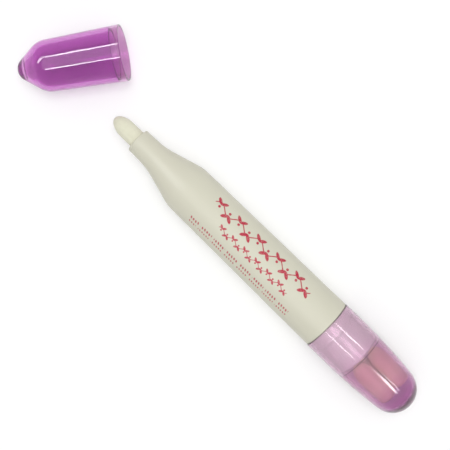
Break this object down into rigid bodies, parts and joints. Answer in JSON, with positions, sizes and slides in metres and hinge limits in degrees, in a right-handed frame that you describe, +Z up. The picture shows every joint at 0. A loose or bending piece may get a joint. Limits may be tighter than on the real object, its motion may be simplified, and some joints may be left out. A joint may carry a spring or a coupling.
{
  "type": "nail polish remover pen",
  "caption": "Slim felt-tip nail polish remover pen lying with its translucent front cap pulled off and spare felt nibs showing through the translucent tail cap.",
  "frame": {"origin": "on the surface the pen lies on, at the middle of the tail cap's straight skirt, on its lowest flat", "axes": "+X along the pen's axis from the nib to the tail, +Z up from the surface, +Y across the pen, towards the side that the front cap's mouth lies on"},
  "size_m": [0.1353, 0.0279, 0.0146],
  "materials": {
    "ivory_barrel": "fine matte, warm ivory",
    "felt": "dense pressed fibre, cream",
    "reservoir_fibre": "soft bundled fibre, off-white",
    "reservoir_film": "thin clear film",
    "white_plug": "satin, warm white",
    "tail_cap_plastic": "clear gloss, dusky pinkish purple tint",
    "front_cap_plastic": "clear gloss, violet-purple tint"
  },
  "bodies": {
    "pen": {"barrel": "ivory_barrel", "end_plug": "white_plug", "reservoir_core": "reservoir_fibre", "reservoir_sleeve": "reservoir_film", "transfer_wick": "reservoir_fibre"},
    "nib": {"nib": "felt"},
    "tail_cap": {"tail_cap": "tail_cap_plastic", "spare_nib_1": "felt", "spare_nib_2": "felt", "spare_nib_3": "felt"},
    "front_cap": {"front_cap": "front_cap_plastic"}
  },
  "joints": [
    {"name": "nib_pull", "type": "slide", "parent": "pen", "child": "nib", "axis": [-1, 0, 0], "range_m": [0, 0.0075]},
    {"name": "tail_cap_pull", "type": "slide", "parent": "pen", "child": "tail_cap", "axis": [1, 0, 0], "range_m": [0, 0.0145]},
    {"name": "front_cap_lift", "type": "slide", "parent": "pen", "child": "front_cap", "axis": [0, 0, 1], "range_m": [0, 0.02]}
  ]
}
